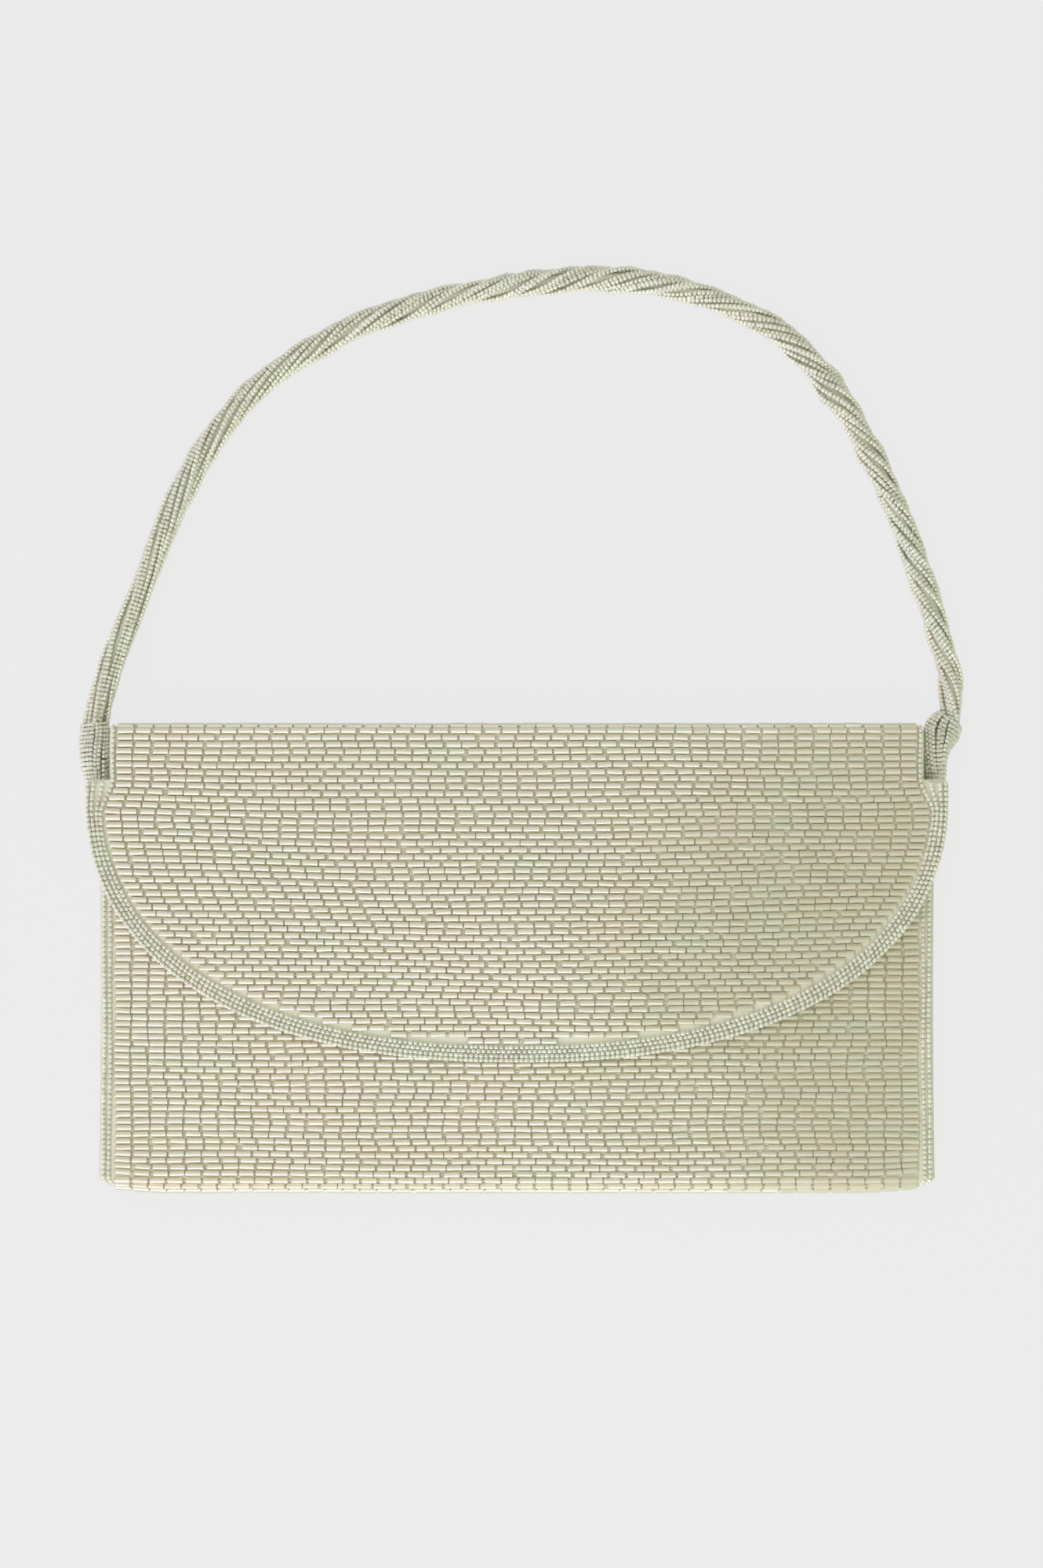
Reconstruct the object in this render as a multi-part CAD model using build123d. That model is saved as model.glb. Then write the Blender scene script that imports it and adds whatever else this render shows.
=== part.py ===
from build123d import *
import os
from math import atan2, cos, degrees, pi, sin, tan

# A beaded evening bag that lies on its back. Millimetres, +Z up out of the flap's face, +Y from the
# bottom fold to the top fold and the handle, +X to the right seen from the front. The origin is the
# centre of the pouch's outline, on the surface that the bag lies on.

# Outline of the pouch
POUCH_WIDTH = 250.0
POUCH_HEIGHT = 141.0
WAIST = 0.7             # how far the long sides pull in at mid-height
CORNER_RADIUS = 2.5     # bottom corners
NOTCH_HALF = 120.8      # half-width beside the handle's ends
NOTCH_Y = 53.5          # below this the pouch and the flap have their full width

# Layers of each panel, from the outside in
BEAD = 1.9              # a bugle bead's diameter
SEED = 1.5              # a seed bead's diameter
SEED_SINK = 0.35        # the seed beads' tops lie this far below the bugle beads' tops
CLOTH = 0.5
BOARD = 0.8
LINING = 0.4
GAP = 0.1               # clearance between neighbouring layers
CLOTH_DEPTH = BEAD + GAP
BOARD_DEPTH = CLOTH_DEPTH + CLOTH + GAP
LINING_DEPTH = BOARD_DEPTH + BOARD + GAP
PANEL = LINING_DEPTH + LINING

# Thickness of the closed pouch, measured at the beads of its front
BOTTOM_DEPTH = 10.4     # at the bottom fold
MOUTH_DEPTH = 12.4      # at the mouth
CROWN = 4.0             # how far the middle of the front stands proud
CROWN_HALF_WIDTH = 125.0
CROWN_LOW_Y = -65.3     # the crown runs out at the bottom fold ...
CROWN_HIGH_Y = 60.0     # ... and where the flap's root begins
PATCH_HALF_WIDTH = 140.0
PATCH_HALF_HEIGHT = 80.0

# Mouth, flap and fold
MOUTH_Y = 57.9          # upper edge of the front panel
BINDING = 1.2           # width of the bound edge
FLAP_LIFT = 0.7         # space between the front and the closed flap
FLAP_HALF = 128.5       # the flap is a little wider than the pouch
FLAP_SIDE_Y = 50.0      # height at which the flap's curved edge begins
FLAP_TIP_Y = -30.5
FLAP_POWER = 2.3        # exponent of the super-ellipse that the flap's edge follows
FLAP_STEPS = 24
EDGING = 5.6            # width of the seed-bead edging
EDGING_SPACE = 0.8      # bare cloth between the edging and the flap's bead rows
HINGE_Y = POUCH_HEIGHT / 2 + 0.15
HINGE_Z = 13.3
HINGE_SPLIT = 0.15      # half of the slit between the flap's root and the top fold
FOLD_FLAT_Y = 67.2      # the flap's root turns down from here

# Side trims and seams
TRIM_INNER = 118.8      # inner edge of the seed-bead lines along the sides
TRIM_OUTER = 124.0
BOARD_HALF = 118.4

# Magnetic snap, level, at the top of the crown
SNAP_Y = 5.0
SOCKET_RADIUS = 7.5
STUD_RADIUS = 7.0
BOSS_RADIUS = 2.7
WASHER_RADIUS = 6.0

# Handle
ROPE_RADIUS = 3.85
ROPE_Z = 4.1
END_RADIUS = 4.0
END_LENGTH = 9.0
SWING_Y = 62.0          # the handle swings about a line along X here, at the height of the rope
TAB_LENGTH = 9.0        # cloth tab inside the corner, along Y
TAB_HIDDEN = 10.0       # how far it reaches into the pouch
TAB_SHOWING = 1.7        # and out of it, up to the end of the rope
TAB_THICKNESS = 1.2
ROPE_ROUTE = [
    (-127.3, 66.0), (-125.2, 77.0), (-119.5, 94.0), (-111.6, 113.0), (-104.3, 132.0), (-95.0, 151.0),
    (-79.6, 171.0), (-55.4, 187.0), (-28.0, 196.9), (1.0, 202.3), (30.0, 204.6), (57.0, 199.2),
    (82.5, 186.6), (99.3, 164.3), (111.0, 142.0), (120.0, 118.5), (127.0, 96.5), (131.4, 79.5),
    (129.0, 66.5),
]

TOP_Y = POUCH_HEIGHT / 2
BOTTOM_Y = -POUCH_HEIGHT / 2
FLAP_RISE = FLAP_LIFT + PANEL       # the flap's beads above the front's beads
ROOT_TOP = MOUTH_DEPTH + FLAP_RISE  # height of the flap's beads at its root


def write(shape, name):
    """One STEP file for each node, named after the node."""
    shape.label = name
    export_step(shape, f"parts/{name}.step")


def block(x_low, x_high, y_low, y_high, z_low, z_high):
    """A box given by its six limits."""
    size = (x_high - x_low, y_high - y_low, z_high - z_low)
    middle = ((x_low + x_high) / 2, (y_low + y_high) / 2, (z_low + z_high) / 2)
    return Pos(*middle) * Box(*size)


def prism(face):
    """An outline turned into a tall prism that trims layers to their shape."""
    return Pos(0, 0, -10) * extrude(face, 60)


def front_depth(y):
    """Height of the front's beads at the side edges, where there is no crown."""
    slope = (MOUTH_DEPTH - BOTTOM_DEPTH) / (CROWN_HIGH_Y - CROWN_LOW_Y)
    return BOTTOM_DEPTH + slope * (y - CROWN_LOW_Y)


def bump_controls(reach, centre, half):
    """The three Bezier values on -reach..reach of a parabola that is 1 at centre and 0 at half from it."""
    low, high = -reach - centre, reach - centre
    return [1 - (a * b) / half**2 for a, b in ((low, low), (low, high), (high, high))]


def crowned_layer(depth, thickness):
    """A layer of the domed front, its top face lying depth below the front's beads."""
    centre_y = (CROWN_LOW_Y + CROWN_HIGH_Y) / 2
    across = bump_controls(PATCH_HALF_WIDTH, 0, CROWN_HALF_WIDTH)
    along = bump_controls(PATCH_HALF_HEIGHT, centre_y, CROWN_HIGH_Y - centre_y)
    rows = []
    for x, bump_x in zip((-PATCH_HALF_WIDTH, 0, PATCH_HALF_WIDTH), across):
        row = []
        for y, bump_y in zip((-PATCH_HALF_HEIGHT, 0, PATCH_HALF_HEIGHT), along):
            row.append((x, y, front_depth(y) + CROWN * bump_x * bump_y - depth))
        rows.append(row)
    return Solid.extrude(Face.make_bezier_surface(rows), Vector(0, 0, -thickness))


def pouch_outline(half):
    """The pouch seen from the front: long sides drawn in, round bottom corners, notches at the top."""
    notch = min(half, NOTCH_HALF)
    start_y = BOTTOM_Y + CORNER_RADIUS
    right_side = ThreePointArc((half, start_y), (half - WAIST, 0), (half, NOTCH_Y))
    left_side = ThreePointArc((-half, NOTCH_Y), (-half + WAIST, 0), (-half, start_y))
    top = Polyline((half, NOTCH_Y), (notch, NOTCH_Y + 0.5), (notch, TOP_Y), (-notch, TOP_Y),
                   (-notch, NOTCH_Y + 0.5), (-half, NOTCH_Y))
    corner = half - CORNER_RADIUS
    left_corner = RadiusArc((-half, start_y), (-corner, BOTTOM_Y), -CORNER_RADIUS)
    bottom = Line((-corner, BOTTOM_Y), (corner, BOTTOM_Y))
    right_corner = RadiusArc((corner, BOTTOM_Y), (half, start_y), -CORNER_RADIUS)
    return make_face([right_side, top, left_side, left_corner, bottom, right_corner])


def flap_outline(inset):
    """The flap seen from the front: a super-ellipse below, straight sides and notches above."""
    half, notch = FLAP_HALF - inset, NOTCH_HALF - inset
    drop = FLAP_SIDE_Y - FLAP_TIP_Y - inset
    points = []
    for step in range(FLAP_STEPS + 1):
        turn = pi * step / FLAP_STEPS
        across = abs(cos(turn)) ** (2 / FLAP_POWER) * (1 if cos(turn) > 0 else -1)
        points.append((half * across, FLAP_SIDE_Y - drop * sin(turn) ** (2 / FLAP_POWER)))
    edge = Spline(*points)
    rest = Polyline(points[-1], (-half, NOTCH_Y - 1), (-notch, NOTCH_Y), (-notch, TOP_Y),
                    (notch, TOP_Y), (notch, NOTCH_Y), (half, NOTCH_Y - 1), points[0])
    return make_face([edge, rest])


def along_x(profile, half):
    """A profile drawn as (y, z) and extruded evenly to both sides."""
    return extrude(Plane.YZ * profile, half, both=True)


def root_profile(depth):
    """Section of the flap's root: level, then turning down into the top fold."""
    outer = TOP_Y - depth
    radius = outer - FOLD_FLAT_Y
    top = ROOT_TOP - depth
    foot = HINGE_Z + HINGE_SPLIT
    lines = Polyline((FOLD_FLAT_Y, top), (CROWN_HIGH_Y, top), (CROWN_HIGH_Y, foot), (outer, foot),
                     (outer, top - radius))
    return make_face([lines, RadiusArc((outer, top - radius), (FOLD_FLAT_Y, top), -radius)])


def turned_root(depth, thickness):
    """A flap layer that goes round the corner of the fold."""
    ring = root_profile(depth) - root_profile(depth + thickness)
    return along_x(ring, FLAP_HALF)


def level_root(depth, thickness):
    """A flap layer that stops before the corner."""
    z_high = ROOT_TOP - depth
    return block(-FLAP_HALF, FLAP_HALF, CROWN_HIGH_Y, FOLD_FLAT_Y - GAP, z_high - thickness, z_high)


def flap_layer(depth, thickness, outline, root):
    """The domed part of a flap layer and its root in one piece."""
    below_root = block(-FLAP_HALF, FLAP_HALF, BOTTOM_Y, CROWN_HIGH_Y, 0, 40)
    domed = crowned_layer(depth - FLAP_RISE, thickness) & below_root
    return (domed + root(depth, thickness)) & prism(outline)


def front_layer(depth, thickness, outline):
    """A layer of the front panel, between the bottom fold and the mouth."""
    span = block(-FLAP_HALF, FLAP_HALF, CROWN_LOW_Y, MOUTH_Y, 0, 40)
    return crowned_layer(depth, thickness) & span & prism(outline)


def back_layer(depth, thickness, outline, y_high):
    """A flat layer of the back, between the bottom fold and the top fold."""
    slab = block(-FLAP_HALF, FLAP_HALF, CROWN_LOW_Y, y_high, depth, depth + thickness)
    return slab & prism(outline)


def bottom_ring(depth, thickness, half):
    """Half of a tube that joins a back layer to a front layer round the bottom."""
    radius = BOTTOM_DEPTH / 2
    ring = Circle(radius - depth) - Circle(radius - depth - thickness)
    low_half = Pos(-BOTTOM_DEPTH, 0) * Rectangle(2 * BOTTOM_DEPTH - 2 * GAP, 2 * BOTTOM_DEPTH)
    return along_x(Pos(CROWN_LOW_Y, radius) * (ring & low_half), half) & prism(pouch_outline(half))


def top_wall(depth, thickness, half, foot):
    """The upright wall of the top fold, from the back up to the flap's root."""
    y_high = TOP_Y - depth
    return block(-half, half, y_high - thickness, y_high, foot, HINGE_Z - HINGE_SPLIT)


def strips(x_low, x_high):
    """The two side strips of an outline, as tall prisms, left and then right."""
    return (block(-x_high, -x_low, BOTTOM_Y, TOP_Y, -10, 50), block(x_low, x_high, BOTTOM_Y, TOP_Y, -10, 50))


def disc(radius, z_low, z_high):
    """A level disc of the snap."""
    return Pos(0, SNAP_Y, (z_low + z_high) / 2) * Cylinder(radius, z_high - z_low)


def prongs(z_low, z_high, grow=0.0):
    """The two bent tongues that hold a half of the snap."""
    reach = 3.6
    pair = [block(side * reach - 0.3 - grow, side * reach + 0.3 + grow, SNAP_Y - 1.5 - grow,
                  SNAP_Y + 1.5 + grow, z_low, z_high) for side in (-1, 1)]
    return pair[0] + pair[1]


def front_top():
    """Height of the front's beads under the middle of the snap."""
    centre_y = (CROWN_LOW_Y + CROWN_HIGH_Y) / 2
    return front_depth(SNAP_Y) + CROWN * (1 - ((SNAP_Y - centre_y) / (CROWN_HIGH_Y - centre_y)) ** 2)


def snap_parts():
    """Socket with its ring magnet, stud, and the washer behind each."""
    level = front_top()
    seat = level - CLOTH_DEPTH + 0.05       # the socket sits on the front's cloth
    under = level + FLAP_LIFT               # the flap's lining begins here
    low_washer = level - LINING_DEPTH + GAP
    high_washer = under + LINING + 2 * GAP
    magnet_space = disc(6.2, seat - 1, seat + 1.2) - disc(3.8, seat - 1, seat + 1.2)
    socket = disc(SOCKET_RADIUS, seat, level + 0.1) - disc(BOSS_RADIUS + 0.6, level - 1.3, level + 1)
    socket = socket - magnet_space + prongs(low_washer, seat)
    magnet = disc(6.1, seat + GAP, seat + 1.1) - disc(3.9, seat + GAP, seat + 1.1)
    magnet = magnet - prongs(seat, seat + 1.2, 0.15)
    stud = disc(STUD_RADIUS, level + 0.25, under - GAP) + disc(BOSS_RADIUS, level - 0.9, level + 0.3)
    stud = stud + prongs(under - GAP - 0.05, high_washer + 0.5)
    socket_washer = disc(WASHER_RADIUS, low_washer, low_washer + 0.5) - prongs(0, 40, 0.1)
    stud_washer = disc(WASHER_RADIUS, high_washer, high_washer + 0.5) - prongs(0, 40, 0.1)
    return {"snap_socket": socket, "snap_magnet": magnet, "snap_stud": stud,
            "socket_washer": socket_washer, "stud_washer": stud_washer}


def corner_radii(route):
    """Arc radius at each inner point: 0.45 of the shorter run over the tangent of half the turn."""
    radii = []
    for before, here, after in zip(route, route[1:], route[2:]):
        arriving, leaving = Vector(*here) - Vector(*before), Vector(*after) - Vector(*here)
        half_turn = arriving.get_angle(leaving) / 2 * pi / 180
        radii.append(0.45 * min(arriving.length, leaving.length) / tan(half_turn))
    return radii


def handle_rope():
    """The free rope of bead strands, a plain tube along its route."""
    route = [(x, y, ROPE_Z) for x, y in ROPE_ROUTE]
    radii = corner_radii(route)
    print("arc radii of the rope:", " ".join(f"{radius:.0f}" for radius in radii))
    path = FilletPolyline(*route, radius=radii)
    section = Plane(origin=route[0], z_dir=path % 0) * Circle(ROPE_RADIUS)
    rope = sweep(section, path=path)
    expected = pi * ROPE_RADIUS**2 * path.length
    print(f"rope: length {path.length:.1f}, volume {rope.volume:.0f}, section times length {expected:.0f}")
    return rope


def handle_end(start, after):
    """The gathered, stitched end of the rope, in line with its first run."""
    turn = degrees(atan2(after[1] - start[1], after[0] - start[0]))
    lying = Rot(0, 0, turn) * Rot(0, -90, 0) * Pos(0, 0, END_LENGTH / 2)
    barrel = fillet(Cylinder(END_RADIUS, END_LENGTH).edges().filter_by(GeomType.CIRCLE), 0.6)
    return Pos(start[0], start[1], ROPE_Z) * lying * barrel


def side_seam(x_low, x_high):
    """Folded cloth that closes one side between the back and the front."""
    sides = block(x_low, x_high, CROWN_LOW_Y, FOLD_FLAT_Y, BOARD_DEPTH, HINGE_Z - 2 * HINGE_SPLIT)
    sides = sides & prism(pouch_outline(POUCH_WIDTH / 2 - 0.4))
    above_front = crowned_layer(-40, 40 + BOARD_DEPTH) & block(-140, 140, -75, MOUTH_Y + BINDING + GAP, 0, 60)
    return sides - above_front


def build_back():
    half = POUCH_WIDTH / 2
    rows = Rectangle(2 * (TRIM_INNER - 0.3), 2 * TOP_Y)
    board = Rectangle(2 * BOARD_HALF, 2 * TOP_Y)
    wall_y = TOP_Y - LINING_DEPTH - LINING - GAP
    write(back_layer(0, BEAD, rows, TOP_Y - CLOTH_DEPTH), "back_bead_rows")
    write(back_layer(CLOTH_DEPTH, CLOTH, pouch_outline(half - 0.1), TOP_Y - BOARD_DEPTH), "back_cloth")
    write(back_layer(BOARD_DEPTH, BOARD, board, wall_y), "back_board")
    write(back_layer(LINING_DEPTH, LINING, board, wall_y), "back_lining")
    for side, strip in zip(("left", "right"), strips(TRIM_INNER, TRIM_OUTER)):
        trim = back_layer(SEED_SINK, SEED, pouch_outline(half), TOP_Y - CLOTH_DEPTH) & strip
        write(trim, f"back_trim_{side}")


def build_folds():
    rows_half = TRIM_INNER - 0.3
    write(bottom_ring(0, BEAD, rows_half), "bottom_bead_rows")
    write(bottom_ring(CLOTH_DEPTH, CLOTH, POUCH_WIDTH / 2 - 0.1), "bottom_cloth")
    write(bottom_ring(BOARD_DEPTH, LINING, BOARD_HALF), "bottom_lining")
    write(top_wall(0, BEAD, NOTCH_HALF - EDGING - EDGING_SPACE, BEAD), "top_bead_rows")
    write(top_wall(CLOTH_DEPTH, CLOTH, NOTCH_HALF, CLOTH_DEPTH), "top_cloth")
    write(top_wall(BOARD_DEPTH, LINING, BOARD_HALF, BOARD_DEPTH), "top_lining")


def build_front(snap):
    half = POUCH_WIDTH / 2
    rows = Rectangle(2 * (TRIM_INNER - 0.3), 2 * TOP_Y)
    board = Rectangle(2 * BOARD_HALF, 2 * TOP_Y)
    cloth = front_layer(CLOTH_DEPTH, CLOTH, pouch_outline(half - 0.1)) - prongs(0, 40, 0.1)
    write(front_layer(0, BEAD, rows) - disc(SOCKET_RADIUS + 0.3, 0, 40), "front_bead_rows")
    write(cloth, "front_cloth")
    write(front_layer(BOARD_DEPTH, BOARD, board) - disc(WASHER_RADIUS + 0.3, 0, 40), "front_board")
    write(front_layer(LINING_DEPTH, LINING, board), "front_lining")
    for side, strip in zip(("left", "right"), strips(TRIM_INNER, TRIM_OUTER)):
        trim = front_layer(SEED_SINK, SEED, pouch_outline(half)) & strip
        write(trim, f"front_trim_{side}")
    bar_top = MOUTH_DEPTH - CLOTH_DEPTH
    bar = block(-TRIM_INNER, TRIM_INNER, MOUTH_Y + GAP, MOUTH_Y + GAP + BINDING, MOUTH_DEPTH - PANEL, bar_top)
    write(fillet(bar.edges().filter_by(Axis.X).sort_by(Axis.Y)[-2:], 0.5), "mouth_binding")
    for name in ("snap_socket", "snap_magnet", "socket_washer"):
        write(snap[name], name)


def build_sides():
    for side, sign in (("left", -1), ("right", 1)):
        inner, outer = sign * (BOARD_HALF + 0.4), sign * POUCH_WIDTH
        tab_x = sorted((sign * (NOTCH_HALF - TAB_HIDDEN), sign * (NOTCH_HALF + TAB_SHOWING)))
        tab_low, tab_high = SWING_Y - TAB_LENGTH / 2, SWING_Y + TAB_LENGTH / 2
        tab = block(*tab_x, tab_low, tab_high, PANEL + GAP, PANEL + GAP + TAB_THICKNESS)
        slot = block(*sorted((0, sign * POUCH_WIDTH)), tab_low - GAP, tab_high + GAP,
                     PANEL, PANEL + 2 * GAP + TAB_THICKNESS)
        write(side_seam(*sorted((inner, outer))) - slot, f"side_seam_{side}")
        write(tab, f"handle_tab_{side}")


def build_flap(snap):
    whole, inner = flap_outline(0), flap_outline(EDGING + EDGING_SPACE)
    lined = flap_outline(1.0)
    edging = flap_layer(SEED_SINK, SEED, whole - flap_outline(EDGING), turned_root)
    cloth = flap_layer(CLOTH_DEPTH, CLOTH, whole, turned_root)
    board = flap_layer(BOARD_DEPTH, BOARD, lined, level_root) - disc(WASHER_RADIUS + 0.3, 0, 40)
    lining = flap_layer(LINING_DEPTH, LINING, lined, level_root) - prongs(0, 40, 0.1)
    write(flap_layer(0, BEAD, inner, turned_root), "flap_bead_rows")
    write(edging, "flap_edging")
    write(cloth, "flap_cloth")
    write(board, "flap_board")
    write(lining, "flap_lining")
    for name in ("snap_stud", "stud_washer"):
        write(snap[name], name)


def build_handle():
    write(handle_rope(), "handle_rope")
    write(handle_end(ROPE_ROUTE[0], ROPE_ROUTE[1]), "handle_end_left")
    write(handle_end(ROPE_ROUTE[-1], ROPE_ROUTE[-2]), "handle_end_right")


os.makedirs("parts", exist_ok=True)
SNAP = snap_parts()
build_back()
build_folds()
build_front(SNAP)
build_sides()
build_flap(SNAP)
build_handle()
print(f"flap hinge along X at y {HINGE_Y}, z {HINGE_Z}; handle swings at y {SWING_Y}, z {ROPE_Z}")
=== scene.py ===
from math import cos, pi, sin

import bpy
import numpy as np
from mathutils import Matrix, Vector


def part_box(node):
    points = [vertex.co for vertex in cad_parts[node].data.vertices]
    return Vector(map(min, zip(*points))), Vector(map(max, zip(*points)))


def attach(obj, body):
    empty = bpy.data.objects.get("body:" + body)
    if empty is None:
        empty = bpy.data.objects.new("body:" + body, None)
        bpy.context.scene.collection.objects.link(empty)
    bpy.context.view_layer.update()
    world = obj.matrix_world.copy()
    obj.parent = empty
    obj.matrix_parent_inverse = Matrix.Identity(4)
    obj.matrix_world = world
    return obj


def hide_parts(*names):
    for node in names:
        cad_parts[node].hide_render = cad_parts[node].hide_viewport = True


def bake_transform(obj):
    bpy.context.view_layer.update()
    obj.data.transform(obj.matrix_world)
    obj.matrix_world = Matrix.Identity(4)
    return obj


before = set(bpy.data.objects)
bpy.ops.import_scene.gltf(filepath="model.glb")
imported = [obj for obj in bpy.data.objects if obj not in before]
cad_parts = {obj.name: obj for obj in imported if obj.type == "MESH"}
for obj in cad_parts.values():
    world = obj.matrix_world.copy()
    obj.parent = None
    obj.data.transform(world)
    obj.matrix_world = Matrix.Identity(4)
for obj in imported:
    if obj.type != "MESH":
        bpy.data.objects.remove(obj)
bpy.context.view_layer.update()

# A beaded evening bag that lies on its back. Shapes are worked out in millimetres, in the CAD frame,
# and turned into metres where a mesh is made.
MM = 0.001
SIDE_NAMES = {-1: "left", 1: "right"}
UP = (0.0, 0.0, 1.0)
DOWN = (0.0, 0.0, -1.0)
RANDOM = np.random.default_rng(41)


def cad(node):
    """Lowest and highest corner of a CAD node, in millimetres."""
    low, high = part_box(node)
    return np.array(low) / MM, np.array(high) / MM


# Sizes taken from the frame
FRONT_LOW, FRONT_HIGH = cad("front_bead_rows")
FLAP_LOW, FLAP_HIGH = cad("flap_cloth")
TOP_Y = cad("top_bead_rows")[1][1]
SPINE_LOW_Z = cad("top_bead_rows")[0][2]
SPINE_HIGH_Z = cad("top_bead_rows")[1][2]
BACK_HIGH_Y = cad("back_bead_rows")[1][1]
POUCH_HALF = cad("front_cloth")[1][0]
LINING_HALF = cad("front_lining")[1][0]
FOLD_Y = FRONT_LOW[1]                    # the bottom fold's ring is centred here
MOUTH_Y = FRONT_HIGH[1]
BOTTOM_DEPTH = cad("bottom_bead_rows")[1][2]

# Beads
BUGLE = 1.9                              # diameter
BUGLE_LENGTH = 4.64
BUGLE_PITCH = 5.17
ROW_PITCH = 1.94
SEED = 1.32
SEED_PITCH = 1.5
BEAD_THREAD = 0.22                       # radius of the thread through each row
CLOTH_DEPTH = 1.25                       # below the tops of the beads, which sink into the cloth
CLOTH = 1.0
SEAM_DEPTH = 2.6                         # where the closed sides meet the panels
LINING_DEPTH = 3.5
LINING = 0.4
SEAM_INNER = 118.85                      # how far in the closed sides reach
SEAM_HIGH_Y = 66.9
LINING_HIGH_Y = 66.4

# Front surface, at the tops of its beads: a slope with a crown
MOUTH_DEPTH = 12.4
CROWN = 4.0
CROWN_HALF = 125.0
CROWN_HIGH_Y = 60.0
CROWN_MIDDLE_Y = (FOLD_Y + CROWN_HIGH_Y) / 2
CROWN_REACH_Y = CROWN_HIGH_Y - CROWN_MIDDLE_Y

# Flap
FLAP_RISE = 4.6
ROOT_TOP = MOUTH_DEPTH + FLAP_RISE
FLAP_HALF = FLAP_HIGH[0]
FLAP_TIP_Y = FLAP_LOW[1]
FLAP_SIDE_Y = 50.0
FLAP_POWER = 2.3
NOTCH_Y = 53.5
NOTCH_HALF = 120.8
TAB_END = NOTCH_HALF + 0.1               # the rope's sewn end covers the cloth tab from here
FOLD_FLAT_Y = 67.2                       # the root turns down from here
ROOT_RADIUS = TOP_Y - FOLD_FLAT_Y
HINGE_Z = 13.3
EDGING_INSETS = (0.75, 2.0, 3.35, 4.6)   # four lines of seed beads, in two pairs
ROWS_INSET = 5.3
NOTCH_ROWS_INSET = 1.6
SHOULDER_LOW = 43.0
SHOULDER_STEP = (FLAP_HALF - ROWS_INSET) - (NOTCH_HALF - NOTCH_ROWS_INSET)
SAG = 1.5                                # how far the flap's rows hang down in the middle

# Handle
ROPE_Z = 4.1
ROPE_ROUTE = [
    (-127.3, 66.0), (-125.2, 77.0), (-119.5, 94.0), (-111.6, 113.0), (-104.3, 132.0), (-95.0, 151.0),
    (-79.6, 171.0), (-55.4, 187.0), (-28.0, 196.9), (1.0, 202.3), (30.0, 204.6), (57.0, 199.2),
    (82.5, 186.6), (99.3, 164.3), (111.0, 142.0), (120.0, 118.5), (127.0, 96.5), (131.4, 79.5),
    (129.0, 66.5),
]


# -------- surfaces

def front_height(x, y):
    """Height of the tops of the front's beads."""
    slope = (MOUTH_DEPTH - BOTTOM_DEPTH) / (CROWN_HIGH_Y - FOLD_Y)
    bump = (1 - (x / CROWN_HALF) ** 2) * (1 - ((y - CROWN_MIDDLE_Y) / CROWN_REACH_Y) ** 2)
    return BOTTOM_DEPTH + slope * (y - FOLD_Y) + CROWN * bump


def soft_wave(x, y, size, phase):
    """Slow, even unevenness between -1 and 1."""
    a = np.sin(x / size + phase) * np.sin(y / size * 0.83 + 1.7 * phase)
    b = np.sin((x + 0.6 * y) / (size * 0.61) + 2.3 * phase)
    return 0.6 * a + 0.4 * b


def front_place(x, y, depth):
    """Points of the front, this far below the tops of its beads."""
    z = front_height(x, y) - depth + 0.22 * soft_wave(x, y, 17, 1.3)
    return np.stack([x, y, z], axis=-1)


def corner_lift(x, y):
    """Near the bottom corners the fold is drawn in and the lowest rows turn up a little."""
    return 1.7 * np.clip((np.abs(x) - 102) / 22, 0, 1.1) ** 2 * np.clip((FOLD_Y + 10 - y) / 10, 0, 1)


def fold_place(x, turn, depth):
    """Points of the bottom fold. turn goes from 0 at the front to pi at the back."""
    radius = BOTTOM_DEPTH / 2
    y = FOLD_Y - (radius - depth) * np.sin(turn) + corner_lift(x, FOLD_Y) * np.sin(turn)
    z = radius + (radius - depth) * np.cos(turn)
    return np.stack([x + 0 * turn, y, z], axis=-1)


FLAT_START = HINGE_Z - (ROOT_TOP - ROOT_RADIUS)
ARC_LENGTH = (ROOT_RADIUS - BUGLE / 2) * pi / 2


def flap_place(x, along, depth):
    """Points of the flap. along is the way from the hinge's height, round the root and down the face."""
    x, along = np.broadcast_arrays(np.asarray(x, float), np.asarray(along, float))
    rise = along + FLAT_START
    turn = np.clip(rise / ARC_LENGTH, 0, 1) * pi / 2
    radius = np.maximum(ROOT_RADIUS - depth, 0.25)
    centre_y, centre_z = TOP_Y - depth - radius, ROOT_TOP - depth - radius
    past = np.maximum(rise - ARC_LENGTH, 0)
    y = centre_y + radius * np.cos(turn) - past
    y = np.where(past > 0, FOLD_FLAT_Y - past + np.minimum(0, centre_y - FOLD_FLAT_Y) * np.exp(-past), y)
    z_root = centre_z + radius * np.sin(turn) + np.minimum(rise, 0)
    z_face = front_height(x, y) + FLAP_RISE - depth
    z = np.where(y < CROWN_HIGH_Y, z_face, z_root)
    wave = 0.25 * soft_wave(x, y, 21, 0.4) * np.clip((CROWN_HIGH_Y - y) / 30, 0, 1)
    return np.stack([x, y, z + wave], axis=-1)


def flap_along(y):
    """The way along the flap at which its face is at this height."""
    return FOLD_FLAT_Y - y + ARC_LENGTH - FLAT_START


def flap_half(y, inset):
    """Half the flap's width at a height, this far in from its edge."""
    half, drop = FLAP_HALF - inset, FLAP_SIDE_Y - FLAP_TIP_Y - inset
    share = np.clip((FLAP_SIDE_Y - y) / drop, 0, 1)
    return half * (1 - share ** FLAP_POWER) ** (1 / FLAP_POWER)


def flap_outline(turn, inset):
    """Points of the flap's curved edge, this far in. turn goes from 0 at the right, past the tip, to pi."""
    share = 2 / FLAP_POWER
    x = (FLAP_HALF - inset) * np.sign(np.cos(turn)) * np.abs(np.cos(turn)) ** share
    return x, FLAP_SIDE_Y - (FLAP_SIDE_Y - FLAP_TIP_Y - inset) * np.sin(turn) ** share


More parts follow.
